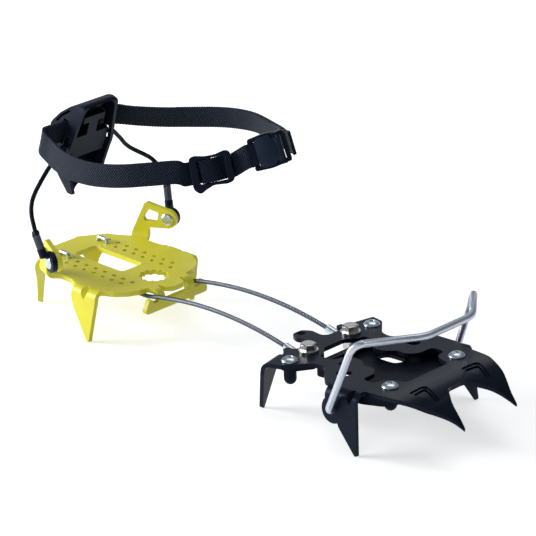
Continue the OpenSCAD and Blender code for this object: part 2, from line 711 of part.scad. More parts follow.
module heel_plate() {
    color(anodised) heel_frame() difference() {
        union() {
            slab(both_halves(heel_half), 0, -heel_t);
            both_sides() heel_flanges();
            translate([guide_x, 0, 0]) translate([0, 0, -heel_t - heel_fold_r])
                rotate([0, 90, 0]) translate([0, 0, heel_fold_r]) linear_extrude(heel_t) guide_flange();
        }
        slab(heel_window, past, -heel_t - past);
        translate([scallop_at[0], scallop_at[1], -heel_t - past]) {
            cylinder(d = scallop_d, h = heel_t + 2 * past);
            for (i = [0:scallops - 1]) rotate(360 * i / scallops) translate([scallop_d / 2, 0, 0])
                cylinder(r = scallop_r, h = heel_t + 2 * past, $fn = 24);
        }
        both_sides() {
            for (k = [0:inner_holes - 1]) translate([-hole_pitch * k, inner_row_y, -heel_t - past])
                cylinder(d = hole_d, h = heel_t + 2 * past, $fn = 24);
            for (k = [0:outer_holes - 1])
                translate([-outer_row_lag - hole_pitch * k, outer_row_y, -heel_t - past])
                    cylinder(d = hole_d, h = heel_t + 2 * past, $fn = 24);
            flange_at(ear_from, ear_to)
                translate([heel_fold_r - past, rivet_along, heel_fold_r + rivet_up]) rotate([0, 90, 0])
                    cylinder(d = rivet_d, h = heel_t + 2 * past);
        }
    }
}

// Ear rivets: one head inside the ear, one on the outside of the eyelet
eyelet_d = 11.4;
eyelet_t = 3;
rivet_head_h = 1.5;

module ear_rivets() {
    color(zinc) for (which = [LEFT, RIGHT]) at_rivet(which) rotate_extrude() polygon([
        [0, -heel_t - rivet_head_h], [0.3 * rivet_head_d, -heel_t - rivet_head_h],
        [rivet_head_d / 2, -heel_t - 0.5], [rivet_head_d / 2, -heel_t], [rivet_d / 2, -heel_t],
        [rivet_d / 2, eyelet_t], [rivet_head_d / 2, eyelet_t], [rivet_head_d / 2, eyelet_t + 0.5],
        [0.3 * rivet_head_d, eyelet_t + rivet_head_h], [0, eyelet_t + rivet_head_h]]);
}

// Cable eyelet: a moulded ring on the rivet with a neck that carries the sleeve.
// Places on the left, from the heel plate's first adjustment hole
neck_low = [-34.6, 49, 16];
sleeve_top = [-38.4, 51, 28.4];
neck_part = 0.35;
neck_top = neck_low + (sleeve_top - neck_low) * neck_part;
neck_d = 4.8;
eyelet_lug = [-32.6, 46.6, 16.4];

module cable_eyelet(which) {
    color(plastic_black) difference() {
        union() {
            at_rivet(which) cylinder(d = eyelet_d, h = eyelet_t);
            heel_frame() side(which) {
                rod(eyelet_lug, neck_low, neck_d - 0.2);
                translate(neck_low) sphere(d = neck_d + 0.1);
                translate(eyelet_lug) sphere(d = neck_d - 0.1);
                rod(neck_low, neck_top, neck_d);
            }
        }
        at_rivet(which) {
            translate([0, 0, -past]) cylinder(d = rivet_d, h = eyelet_t + 2 * past);
            translate([0, 0, eyelet_t]) cylinder(d = rivet_head_d, h = 6);
            translate([0, 0, -10]) cylinder(d = 40, h = 10);
        }
    }
}

// Sleeve on the cable's end, with a groove across its top for the cable's barrel
socket_lift = 0.8;
cable_barrel_d = 2.9;
cable_barrel = 3.2;
cable_pivot = sleeve_top + [0, 0, socket_lift];

module cable_sleeve(which) {
    color(sleeve_grey) heel_frame() side(which) difference() {
        rod(neck_top, sleeve_top, sleeve_d);
        translate(cable_pivot) rotate([90, 0, 0])
            cylinder(d = cable_barrel_d + 2 * run_gap, h = 12, center = true);
    }
}

// Heel cable: a loop from sleeve to sleeve, straight where it carries the lever
lever_at = [-49.5, 0, 68.3];
crosspiece_y = 19;
heel_cable_half = [
    cable_pivot, [-44.6, 49.4, 42.3], [-48.5, 40.6, 48.4], [-51, 32.2, 54], [-50, 26, 61],
    lever_at + [0, crosspiece_y, 0]
];

module heel_cable() {
    half = heel_cable_half;
    other = [for (i = [5:-1:0]) [half[i][0], -half[i][1], half[i][2]]];
    color(coating_black) heel_frame() {
        bent_wire(concat(half, other), [0, 18, 40, 25, 15, 8, 8, 15, 25, 40, 18, 0], heel_cable_d);
        both_sides() translate(cable_pivot) rotate([90, 0, 0])
            cylinder(d = cable_barrel_d, h = cable_barrel, center = true);
    }
}

// Lever: a shell open towards the boot, with the carriage sliding in it
lever_outside = [
    [4.8, 27.6, 2], [4.2, 10, 0], [4, -8, 30], [4.6, -19.2, 20], [8.2, -30.4, 0.8], [3.9, -31.7, 1],
    [-5, -23, 20], [-11.4, -12.4, 16], [-13.8, -2.7, 8], [-14.7, 7, 5], [-10.4, 15.1, 10], [-4.3, 22.6, 10]
];
lever_hollow = [
    [20, 36.4, 0], [-2.4, 20.2, 4], [-5.8, 13.2, 6], [-10.2, 7.2, 4], [-11, -2.5, 6], [-9.5, -11.7, 12],
    [-3.4, -21.8, 10], [3.5, -28.8, 1], [20, -45, 0]
];
lever_grip_slot = [
    [-4.87, 19.94, 0.4], [-3.86, 19.12, 0.4], [-8.33, 13.73, 1.5], [-10.77, 9.07, 0.4], [-11.92, 9.68, 0.4],
    [-9.4, 14.44, 2]
];
lever_arch_r = 12;
lever_arch_z = -40;
lever_top_w = 13.2;
lever_slit = 1.55;
carriage_half_t = 2.2;
carriage_half_w = lever_half_w - lever_wall - 2.8;
carriage_shoe_y = lever_half_w - lever_wall - 1.8;
carriage_shoe_z = 4.5;

module lever_frame() {
    heel_frame() translate(lever_at) rotate([0, lever_lean, 0]) children();
}

function lever_front(inset) = [
    [-lever_top_w + inset, 27 - inset, 5], [-lever_half_w + inset, -3, 14], [-10.5 + inset, -34, 0],
    [10.5 - inset, -34, 0], [lever_half_w - inset, -3, 14], [lever_top_w - inset, 27 - inset, 5]
];

module across(wide) {
    rotate([90, 0, 0]) linear_extrude(wide, center = true) children();
}

module facing(deep) {
    rotate([90, 0, 90]) linear_extrude(deep, center = true) children();
}

module lever_shell() {
    reach = carriage_travel + heel_cable_d / 2 + move_gap;
    color(plastic_black) lever_frame() difference() {
        intersection() {
            across(60) polygon(rounded(lever_outside));
            facing(60) polygon(rounded(lever_front(0)));
        }
        intersection() {
            across(60) polygon(rounded(lever_hollow));
            facing(60) polygon(rounded(lever_front(lever_wall)));
        }
        across(60) polygon(rounded(lever_grip_slot));
        translate([-6.6, -30, -0.6]) cube([4, 60, 14.2]);
        translate([-lever_slit, -30, -reach]) cube([2 * lever_slit, 60, 2 * reach]);
        translate([-20, 0, lever_arch_z]) rotate([0, 90, 0]) cylinder(r = lever_arch_r, h = 50);
    }
}

// Carriage on the straight of the heel cable, which sets the lever's height
module lever_carriage() {
    deep = 2 * carriage_half_t;
    color(plastic_black) lever_frame() difference() {
        union() {
            translate([-carriage_half_t, -8, 12.5]) cube([deep, 16, 4]);
            translate([-carriage_half_t, -3.5, 2]) cube([deep, 7, 11]);
            translate([-carriage_half_t, -carriage_half_w, -9.5]) cube([deep, 2 * carriage_half_w, 12]);
            translate([-carriage_half_t, -carriage_shoe_y, -carriage_shoe_z])
                cube([deep, 2 * carriage_shoe_y, 2 * carriage_shoe_z]);
        }
        rotate([90, 0, 0]) cylinder(d = heel_cable_d + 2 * run_gap, h = 40, center = true);
    }
}

// Ankle strap. Places from the cable bolts, at ground height
strap_lean = 15;
lever_centre = [lever_at[0] - heel_setback, 0, lever_at[2] + heel_sole_z];
slot_centre = lever_centre + [-4.6 * cos(lever_lean) + 6.5 * sin(lever_lean), 0,
    4.6 * sin(lever_lean) + 6.5 * cos(lever_lean)];
right_side = [
    [-186.2, -19.2, slot_centre[2] - 0.7], [-189, -22.8, 104.5], [-189.8, -27, 103.8], [-186, -30.4, 102.4],
    [-178, -33.2, 101], [-164, -40, 101.4], [-148, -46.6, 103], [-132, -51.4, 105.6], [-118, -53, 108],
    [-103, -50.6, 110.8], [-89, -44.6, 113.8], [-76, -37.6, 116.4]
];
left_side = [
    [-186, 19.4, slot_centre[2] - 0.6], [-188, 23.4, 104.9], [-186.4, 27.8, 104.1], [-178, 33.4, 103.6],
    [-164, 40, 104.6], [-148, 46.6, 106.8], [-132, 51.4, 109.5], [-118, 53, 111.7], [-103, 50.6, 114.2],
    [-89, 45, 116.4], [-68, 33.6, 120.2], [-52, 21.4, 125.2], [-39, 9.6, 130.4]
];
ring_at = [-59.4, -26.8, 119.2];
ring_way = unit([0.67, 0.69, 0.19]);
buckle_at = [-37.5, -6.5, 130.3];
buckle_way = unit([0.66, 0.68, 0.3]);

function turned(route) = [for (i = [len(route) - 1:-1:0]) route[i]];

// A place in a strap frame: along the heading, across the webbing and out of its face
function on_strap(at, way, lean, p) = let (up = strap_up(way, lean))
    at + way * p[0] + up * p[1] + cross(way, up) * p[2];
function ring_place(x, z) = on_strap(ring_at, ring_way, strap_lean, [x, 0, z]);
function buckle_place(x, z) = on_strap(buckle_at, buckle_way, strap_lean, [x, 0, z]);

module strap_frame(at, way, lean) {
    up = strap_up(way, lean);
    out = cross(way, up);
    multmatrix([[way[0], up[0], out[0], at[0]], [way[1], up[1], out[1], at[1]],
                [way[2], up[2], out[2], at[2]], [0, 0, 0, 1]]) children();
}

strap_layer = strap_t + 0.4;
tail_lift = 1.5;
tail_past = 0.36;
ring_t = 3;
under_ring = -ring_t / 2 - strap_t / 2 - 0.3;
over_bar = strap_t / 2 + 0.3;

// From behind the slide ring back along the right side, through the lever and forwards on the left
function right_run() = concat([ring_place(0, under_ring - strap_layer), ring_place(-5, under_ring - strap_layer),
    ring_place(-10, under_ring - strap_layer), ring_place(-15, under_ring - 1)], turned(right_side));
slot_half = lever_half_w - 5;
function lever_run() = [for (y = [-slot_half, 0, slot_half]) slot_centre + [0, y, 0]];
function left_run() = concat(left_side, [buckle_place(12.4, -1.4), buckle_place(11.4, 0.4)]);
function ankle_route() = concat(right_run(), lever_run(), left_run());

module ankle_strap() {
    color(webbing_black) base_frame() webbing(spline(ankle_route(), 4), strap_w, strap_t, -strap_lean);
}

// Free end of the webbing, doubled back along the left run
function inside(route, gap, lift) = [for (i = [0:len(route) - 1])
    let (way = tangent(route, i), up = strap_up(way, -strap_lean)) route[i] + up * lift + cross(way, up) * gap];

module strap_tail() {
    end = left_side[5] + (left_side[4] - left_side[5]) * tail_past;
    whole = spline(concat([end], [for (i = [5:12]) left_side[i]], [buckle_place(12.4, -1.4)]), 4);
    beside = inside(whole, strap_layer, tail_lift);
    route = [for (i = [0:len(whole) - 5]) beside[i]];
    color(webbing_black) base_frame() webbing(route, strap_w, strap_t, -strap_lean);
}

module short_strap() {
    route = [ring_place(0, under_ring), ring_place(-3.8, under_ring), ring_place(-5.7, under_ring + 0.5),
        ring_place(-6.3, -0.8), ring_place(-5.8, 0.6), ring_place(-4.2, over_bar), ring_place(0, over_bar - 0.1),
        ring_place(2.4, -0.4), ring_place(5.4, under_ring), ring_place(8, under_ring - 0.1),
        ring_place(11, under_ring), buckle_place(-13, -0.3), buckle_place(-9.6, 0), buckle_place(-6.8, 0)];
    held = unit(strap_up(ring_way, strap_lean) + strap_up(buckle_way, strap_lean));
    color(webbing_black) base_frame() webbing(spline(route, 3), strap_w, strap_t, strap_lean, held);
}

// Slide ring: an hourglass plate with three bars
ring_outline = [
    [-11.8, -8.6, 4], [-11.4, 8.2, 3.4], [-8.4, 9, 2.4], [-2.8, 7.8, 8], [2.6, 7.8, 6], [7.6, 9, 3],
    [10.6, 8.2, 3.4], [10.6, -7.8, 3.4], [6.2, -8.6, 4], [-0.8, -7.9, 6], [-5.4, -9.8, 4], [-8.4, -11.6, 2.4]
];
ring_window_y = strap_w / 2 + 0.3;

module slide_ring() {
    color(plastic_black) base_frame() strap_frame(ring_at, ring_way, strap_lean) {
        difference() {
            translate([0, 0, -ring_t / 2]) linear_extrude(ring_t) polygon(rounded(ring_outline));
            translate([-7.6, -ring_window_y, -ring_t]) cube([14.6, 2 * ring_window_y, 2 * ring_t]);
        }
        translate([-5.2, -ring_window_y - fuse, -ring_t / 2])
            cube([2.4, 2 * ring_window_y + 2 * fuse, ring_t / 2]);
    }
}

// Cam buckle: frame, hinge pin and domed cam
buckle_half = 10;
rail_y = strap_w / 2 + 0.4;
rail_t = 2;
rail_out = rail_y + rail_t;
pin_d = 2;
pin_at = [5.4, 0, 2.6];
bar_reach = rail_y + 1;
rail_outline = [
    [-buckle_half, rail_y, 0], [-buckle_half, rail_out - 0.1, 1.2], [-1, rail_out + 0.7, 14],
    [buckle_half, rail_out - 0.3, 1.2], [buckle_half, rail_y, 0]
];
cam_gap = 0.9;
dome_r = 24;
dome_top = 5.2;

module on_buckle() {
    base_frame() strap_frame(buckle_at, buckle_way, strap_lean) children();
}

module buckle_frame() {
    color(plastic_black) on_buckle() difference() {
        union() {
            both_sides() {
                slab(rail_outline, 2, -2.6);
                translate([pin_at[0] - 2.2, rail_y, 0]) cube([4.4, rail_t, 4.4]);
            }
            translate([-6, -bar_reach, -2.6]) cube([13, 2 * bar_reach, 1.5]);
            translate([-buckle_half, -bar_reach, -2.6]) cube([2.6, 2 * bar_reach, 1.6]);
            translate([buckle_half - 2.4, -bar_reach, -1]) cube([2.4, 2 * bar_reach, 2.4]);
        }
        translate(pin_at) rotate([90, 0, 0]) cylinder(d = pin_d, h = 40, center = true);
    }
}

module buckle_pin() {
    color(stainless) on_buckle()
        translate(pin_at) rotate([90, 0, 0]) cylinder(d = pin_d, h = 2 * rail_out, center = true);
}

module buckle_cam() {
    tongue_y = rail_y - move_gap;
    shelf = 2 + move_gap;
    color(plastic_black) on_buckle() difference() {
        union() {
            translate(pin_at) rotate([90, 0, 0]) cylinder(d = 4, h = 2 * tongue_y, center = true);
            intersection() {
                union() {
                    translate([-5, -tongue_y, cam_gap]) cube([pin_at[0] + 5, 2 * tongue_y, 6]);
                    translate([0, 0, shelf]) linear_extrude(6) polygon(rounded([[-6.8, -7.6, 2.5],
                        [-6.6, 8.2, 2.5], [2.4, 8.2, 1.2], [2.4, tongue_y, 0], [pin_at[0] + 0.6, tongue_y, 1.5],
                        [pin_at[0] + 1.2, 1, 6], [3.9, -4.9, 5], [0.8, -8.2, 2]]));
                }
                translate([-0.6, 0, dome_top - dome_r]) sphere(r = dome_r);
            }
        }
        translate(pin_at) rotate([90, 0, 0]) cylinder(d = pin_d + 2 * run_gap, h = 40, center = true);
    }
}

front_plate();
antiball_pad();
pad_screws();
cable_bolts();
cable_nuts();
cable_terminal(LEFT);  // cable_terminal_left
cable_terminal(RIGHT);  // cable_terminal_right
link_cable(LEFT);  // link_cable_left
link_cable(RIGHT);  // link_cable_right
toe_bail();
heel_plate();
cable_hook(LEFT);  // cable_hook_left
cable_hook(RIGHT);  // cable_hook_right
hook_crimp(LEFT);  // hook_crimp_left
hook_crimp(RIGHT);  // hook_crimp_right
ear_rivets();
cable_eyelet(LEFT);  // cable_eyelet_left
cable_eyelet(RIGHT);  // cable_eyelet_right
cable_sleeve(LEFT);  // cable_sleeve_left
cable_sleeve(RIGHT);  // cable_sleeve_right
heel_cable();
lever_shell();
lever_carriage();
ankle_strap();
strap_tail();
short_strap();
slide_ring();
buckle_frame();
buckle_cam();
buckle_pin();
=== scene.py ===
"""Dresses a step-in crampon: coated plates, stranded cables, woven webbing and moulded buckles."""

import json
import math

import bpy
from mathutils import Matrix, Vector

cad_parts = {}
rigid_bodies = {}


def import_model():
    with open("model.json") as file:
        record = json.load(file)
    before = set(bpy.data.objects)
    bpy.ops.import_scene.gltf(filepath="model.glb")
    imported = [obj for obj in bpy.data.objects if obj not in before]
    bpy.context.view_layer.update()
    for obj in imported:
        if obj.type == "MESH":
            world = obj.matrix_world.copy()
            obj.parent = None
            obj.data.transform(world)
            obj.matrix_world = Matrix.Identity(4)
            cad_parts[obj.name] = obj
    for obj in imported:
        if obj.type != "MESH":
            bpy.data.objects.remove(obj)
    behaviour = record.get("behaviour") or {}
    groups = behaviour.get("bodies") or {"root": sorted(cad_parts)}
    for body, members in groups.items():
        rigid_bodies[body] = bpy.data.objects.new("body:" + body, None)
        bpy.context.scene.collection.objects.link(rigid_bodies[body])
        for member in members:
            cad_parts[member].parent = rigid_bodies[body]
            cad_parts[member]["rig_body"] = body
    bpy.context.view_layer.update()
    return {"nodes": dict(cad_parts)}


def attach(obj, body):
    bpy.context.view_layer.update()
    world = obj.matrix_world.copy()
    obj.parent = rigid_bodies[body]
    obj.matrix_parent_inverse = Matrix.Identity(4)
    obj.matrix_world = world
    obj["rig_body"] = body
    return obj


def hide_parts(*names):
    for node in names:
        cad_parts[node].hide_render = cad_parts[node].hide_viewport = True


bl_info = {
    "name": "Crampon Finishes",
    "version": (1, 0, 0),
    "blender": (4, 5, 0),
    "location": "3D View > Sidebar > Crampon",
    "description": "Finishes, webbing, cables and stage for a step-in crampon",
    "category": "Object",
}

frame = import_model()

MM = 0.001
# Places in millimetres from the cable bolts, at ground height
BOLTS_X = 48.066
HEEL_X = -133.0
HEEL_Z = 30.2
LEFT = 1
RIGHT = -1
# Plain weave: pitch of the weft in millimetres, warp ends across the strap and height of the floats
WEFT_PITCH = 0.8
WARP_ENDS = 14
FLOAT_HEIGHT = 0.1


class CramponSizes(bpy.types.PropertyGroup):
    """Sizes of the pieces that are modelled here"""

    strap_width: bpy.props.FloatProperty(
        name="Strap Width",
        description="Width of the webbing",
        default=0.0125,
        unit="LENGTH",
    )
    strap_thickness: bpy.props.FloatProperty(
        name="Strap Thickness",
        description="Thickness of the webbing",
        default=0.0014,
        unit="LENGTH",
    )
    strap_lean: bpy.props.FloatProperty(
        name="Strap Lean",
        description="Lean of the webbing's upper edge",
        default=math.radians(15),
        subtype="ANGLE",
    )
    cable_diameter: bpy.props.FloatProperty(
        name="Link Cable",
        description="Diameter of the link cables",
        default=0.0025,
        unit="LENGTH",
    )
    cable_strands: bpy.props.IntProperty(
        name="Strands",
        description="Strands seen round a link cable",
        default=8,
    )
    cable_lay: bpy.props.FloatProperty(
        name="Lay",
        description="Length of one turn of a strand",
        default=0.019,
        unit="LENGTH",
    )
    plate_edge: bpy.props.FloatProperty(
        name="Plate Edge",
        description="Rounding of the plates' edges",
        default=0.00028,
        unit="LENGTH",
    )
    moulded_edge: bpy.props.FloatProperty(
        name="Moulded Edge",
        description="Rounding of moulded edges",
        default=0.0004,
        unit="LENGTH",
    )
    fastener_edge: bpy.props.FloatProperty(
        name="Fastener Edge",
        description="Rounding of fasteners' edges",
        default=0.0002,
        unit="LENGTH",
    )


class CramponColours(bpy.types.PropertyGroup):
    """Colours of the finishes"""

    steel: bpy.props.FloatVectorProperty(
        name="Coated Steel",
        description="Coating of the front plate",
        default=(0.0036, 0.0054, 0.0125),
        subtype="COLOR",
    )
    anodised: bpy.props.FloatVectorProperty(
        name="Heel Plate",
        description="Coating of the heel plate",
        default=(0.84, 0.775, 0.036),
        subtype="COLOR",
    )
    rubber: bpy.props.FloatVectorProperty(
        name="Pad",
        description="Rubber of the anti-balling pad",
        default=(0.0036, 0.0050, 0.0100),
        subtype="COLOR",
    )
    zinc: bpy.props.FloatVectorProperty(
        name="Zinc",
        description="Zinc plating of screws and hooks",
        default=(0.62, 0.70, 0.76),
        subtype="COLOR",
    )
    stainless: bpy.props.FloatVectorProperty(
        name="Bail Wire",
        description="Drawn wire of the toe bail",
        default=(0.55, 0.58, 0.66),
        subtype="COLOR",
    )
    strand: bpy.props.FloatVectorProperty(
        name="Cable Strand",
        description="Drawn wire of the link cables",
        default=(0.12, 0.135, 0.165),
        subtype="COLOR",
    )
    plastic: bpy.props.FloatVectorProperty(
        name="Moulded Plastic",
        description="Lever and buckles",
        default=(0.0046, 0.0066, 0.0145),
        subtype="COLOR",
    )
    cam: bpy.props.FloatVectorProperty(
        name="Buckle Cam",
        description="Nylon of the buckle's cam",
        default=(0.0150, 0.0225, 0.0400),
        subtype="COLOR",
    )
    coating: bpy.props.FloatVectorProperty(
        name="Cable Coating",
        description="Jacket of the heel cable",
        default=(0.0060, 0.0076, 0.0125),
        subtype="COLOR",
    )
    sleeve: bpy.props.FloatVectorProperty(
        name="Sleeve",
        description="Smoky sleeves",
        default=(0.06, 0.07, 0.10),
        subtype="COLOR",
    )
    webbing: bpy.props.FloatVectorProperty(
        name="Webbing",
        description="Woven strap",
        default=(0.0046, 0.0068, 0.0140),
        subtype="COLOR",
    )
    floor: bpy.props.FloatVectorProperty(
        name="Floor",
        description="Studio floor",
        default=(0.90, 0.90, 0.90),
        subtype="COLOR",
    )


def sizes():
    return bpy.context.scene.crampon_sizes


def colours():
    return bpy.context.scene.crampon_colours


# Finishes

COOL_GLOSS = (0.52, 0.68, 1.0, 1.0)
SHEEN_TINT = (0.62, 0.70, 0.92, 1.0)
TURNED_DARK = (0.50, 0.49, 0.47)
TURNED_PALE = (0.56, 0.55, 0.53)
# The front plate gets glossier between these places along it, towards its claws
CLAWS_FROM = 0.112
CLAWS_TO = 0.13


class Finish:
    """A material under construction, with short calls for the nodes that it needs"""

    def __init__(self, name, colour, roughness, metallic=0.0):
        self.material = bpy.data.materials.new(name)
        self.material.use_nodes = True
        self.tree = self.material.node_tree
        self.shader = self.tree.nodes["Principled BSDF"]
        self.put("Base Color", (*colour, 1.0))
        self.put("Roughness", roughness)
        self.put("Metallic", metallic)

    def put(self, socket, value):
        self.shader.inputs[socket].default_value = value

    def node(self, kind, **inputs):
        made = self.tree.nodes.new("ShaderNode" + kind)
        for name, value in inputs.items():
            self.feed(made, name, value)
        return made

    def feed(self, node, name, value):
        """Sets or links an input, called by its name or by its number, as in i0"""
        numbered = name[0] == "i" and name[1:].isdigit()
        socket = node.inputs[int(name[1:])] if numbered else node.inputs[name]
        if isinstance(value, bpy.types.NodeSocket):
            self.tree.links.new(value, socket)
        else:
            socket.default_value = value

    def link(self, value, socket):
        self.tree.links.new(value, self.shader.inputs[socket])

    def place(self):
        return self.node("TexCoord").outputs["Object"]

    def along(self):
        """The piece's own UV map, in metres along and across it"""
        return self.node("UVMap").outputs["UV"]

    def noise(self, vector, scale, detail=3.0, roughness=0.55):
        made = self.node("TexNoise", Vector=vector, Scale=scale, Detail=detail, Roughness=roughness)
        return made.outputs["Fac"]

    def stretched(self, vector, scale):
        return self.node("Mapping", Vector=vector, Scale=scale).outputs["Vector"]

    def math(self, operation, first, second=0.0):
        made = self.node("Math", i0=first, i1=second)
        made.operation = operation
        return made.outputs["Value"]

    def span(self, value, low, high, start=0.0, end=1.0):
        made = self.node("MapRange", Value=value)
        made.inputs["From Min"].default_value = start
        made.inputs["From Max"].default_value = end
        made.inputs["To Min"].default_value = low
        made.inputs["To Max"].default_value = high
        return made.outputs["Result"]

    def mix(self, factor, first, second):
        made = self.node("Mix", Factor=factor)
        made.data_type = "RGBA"
        ends = [socket for socket in made.inputs if socket.type == "RGBA"]
        ends[0].default_value = (*first, 1.0)
        ends[1].default_value = (*second, 1.0)
        return [socket for socket in made.outputs if socket.type == "RGBA"][0]

    def gloss(self, level):
        """A dim blue-grey gloss, as on dark coats under a cool sky"""
        self.put("Specular IOR Level", level)
        self.put("Specular Tint", COOL_GLOSS)

    def bump(self, height, strength, distance):
        made = self.node("Bump", Height=height, Strength=strength, Distance=distance)
        self.tree.links.new(made.outputs["Normal"], self.shader.inputs["Normal"])


def tinted(colour, factor):
    return tuple(min(1.0, c * factor) for c in colour)


def coated_steel():
    """Satin powder coat: a faint orange peel and a slightly uneven sheen, glossier on the claws"""
    colour = colours().steel
    f = Finish("coated_steel", colour, 0.36)
    place = f.place()
    cloud = f.noise(place, 60.0)
    f.link(f.mix(cloud, tinted(colour, 0.8), tinted(colour, 1.35)), "Base Color")
    along = f.node("SeparateXYZ", Vector=place).outputs["X"]
    claws = f.span(along, 0.0, 0.2, start=CLAWS_FROM, end=CLAWS_TO)
    f.link(f.math("SUBTRACT", f.span(cloud, 0.30, 0.42), claws), "Roughness")
    f.gloss(0.16)
    f.bump(f.noise(place, 1500.0, detail=2.0), strength=0.06, distance=0.0002)
    return f.material


def anodised_plate():
    """Bright coat on alloy sheet: a fine grain and a slightly cloudy tone"""
    colour = colours().anodised
    f = Finish("anodised_plate", colour, 0.42)
    place = f.place()
    cloud = f.noise(place, 45.0, detail=4.0)
    f.link(f.mix(cloud, tinted(colour, 0.88), tinted(colour, 1.10)), "Base Color")
    f.link(f.span(f.noise(place, 140.0), 0.34, 0.52), "Roughness")
    f.put("Specular IOR Level", 0.6)
    f.bump(f.noise(place, 2200.0, detail=2.0), strength=0.12, distance=0.00015)
    return f.material


def pad_rubber():
    """Moulded rubber with a matt, slightly pebbled skin"""
    colour = colours().rubber
    f = Finish("pad_rubber", colour, 0.5)
    place = f.place()
    f.link(f.mix(f.noise(place, 90.0), tinted(colour, 0.75), tinted(colour, 1.3)), "Base Color")
    f.link(f.span(f.noise(place, 300.0), 0.42, 0.6), "Roughness")
    f.gloss(0.14)
    f.bump(f.noise(place, 1800.0, detail=2.0), strength=0.15, distance=0.0002)
    return f.material


def zinc_plating():
    """Bright zinc: bluish, with the fine mottle of the plating bath"""
    colour = colours().zinc
    f = Finish("zinc_plating", colour, 0.26, 1.0)
    place = f.place()
    mottle = f.noise(place, 700.0, detail=4.0)
    f.link(f.mix(mottle, tinted(colour, 0.8), tinted(colour, 1.15)), "Base Color")
    f.link(f.span(mottle, 0.2, 0.4), "Roughness")
    f.bump(f.noise(place, 2600.0, detail=2.0), strength=0.08, distance=0.0001)
    return f.material


def stainless_turned():
    """Bright stainless with fine turning marks"""
    f = Finish("stainless_turned", colours().stainless, 0.24, 1.0)
    place = f.place()
    mottle = f.noise(place, 500.0, detail=3.0)
    f.link(f.mix(mottle, tinted(TURNED_DARK, 0.8), tinted(TURNED_PALE, 1.2)), "Base Color")
    f.link(f.span(mottle, 0.16, 0.34), "Roughness")
    f.bump(f.noise(f.stretched(place, (1.0, 1.0, 9.0)), 1200.0, detail=2.0), strength=0.08, distance=0.0001)
    return f.material


def bail_wire():
    """Satin drawn wire: a soft grey with long fine draw marks"""
    colour = colours().stainless
    f = Finish("bail_wire", colour, 0.42, 1.0)
    place = f.place()
    marks = f.noise(f.stretched(place, (0.12, 0.25, 0.5)), 2600.0, detail=3.0)
    f.link(f.mix(marks, tinted(colour, 0.86), tinted(colour, 1.12)), "Base Color")
    f.link(f.span(marks, 0.34, 0.5), "Roughness")
    f.bump(f.noise(place, 1400.0, detail=2.0), strength=0.06, distance=0.0001)
    return f.material


def cable_strand():
    """Galvanised rope wire with fine wires in each strand, its colour painted dark as shade in the grooves
    between the strands and light as highlight on their crowns
    """
    colour = colours().strand
    f = Finish("cable_strand", colour, 0.34, 1.0)
    parts = f.node("SeparateXYZ", Vector=f.along())
    turn = f.math("MULTIPLY", parts.outputs["X"], 2 * math.pi / sizes().cable_lay)
    round_it = f.math("MULTIPLY", parts.outputs["Y"], 2 / sizes().cable_diameter)
    phase = f.math("MULTIPLY", f.math("SUBTRACT", round_it, turn), sizes().cable_strands / 2)
    crown = f.math("ABSOLUTE", f.math("COSINE", phase))
    wires = f.math("SINE", f.math("MULTIPLY", phase, 8.0))
    tone = f.noise(f.place(), 900.0, detail=3.0)
    # Painted shade and highlight: darker in the grooves between the strands, lighter on their crowns, with a
    # random tone
    painted_strand_shading = f.math("MULTIPLY", f.math("POWER", crown, 1.4), f.span(tone, 0.6, 1.2))
    f.link(f.mix(painted_strand_shading, tinted(colour, 0.06), tinted(colour, 1.7)), "Base Color")
    f.link(f.span(tone, 0.22, 0.4), "Roughness")
    f.bump(wires, strength=0.2, distance=0.00005)
    return f.material


def nylon(name, colour):
    """Glass-filled nylon: fine spark texture and a soft blue-black sheen"""
    f = Finish(name, colour, 0.46)
    place = f.place()
    cloud = f.noise(place, 120.0, detail=3.0)
    f.link(f.mix(cloud, tinted(colour, 0.75), tinted(colour, 1.4)), "Base Color")
    f.link(f.span(f.noise(place, 420.0), 0.36, 0.56), "Roughness")
    f.gloss(0.18)
    f.bump(f.noise(place, 2400.0, detail=2.0), strength=0.18, distance=0.0002)
    return f.material


def moulded_plastic():
    return nylon("moulded_plastic", colours().plastic)


def cam_plastic():
    """The cam that a thumb opens is moulded in a slightly paler nylon"""
    return nylon("cam_plastic", colours().cam)


def cable_jacket():
    """Smooth extruded jacket over the heel cable"""
    colour = colours().coating
    f = Finish("cable_jacket", colour, 0.34)
    place = f.place()
    f.link(f.mix(f.noise(place, 200.0), tinted(colour, 0.8), tinted(colour, 1.4)), "Base Color")
    f.link(f.span(f.noise(place, 600.0), 0.28, 0.42), "Roughness")
    f.gloss(0.15)
    f.bump(f.noise(place, 900.0, detail=2.0), strength=0.05, distance=0.0001)
    return f.material


def smoky_sleeve():
    """Heat-shrunk clear sleeve, smoky and slightly rippled"""
    colour = colours().sleeve
    f = Finish("smoky_sleeve", colour, 0.22)
    place = f.place()
    f.link(f.mix(f.noise(place, 160.0), tinted(colour, 0.85), tinted(colour, 1.2)), "Base Color")
    f.link(f.span(f.noise(place, 500.0), 0.08, 0.2), "Roughness")
    f.put("Transmission Weight", 0.4)
    f.put("IOR", 1.4)
    f.bump(f.noise(place, 700.0, detail=2.0), strength=0.12, distance=0.0002)
    return f.material


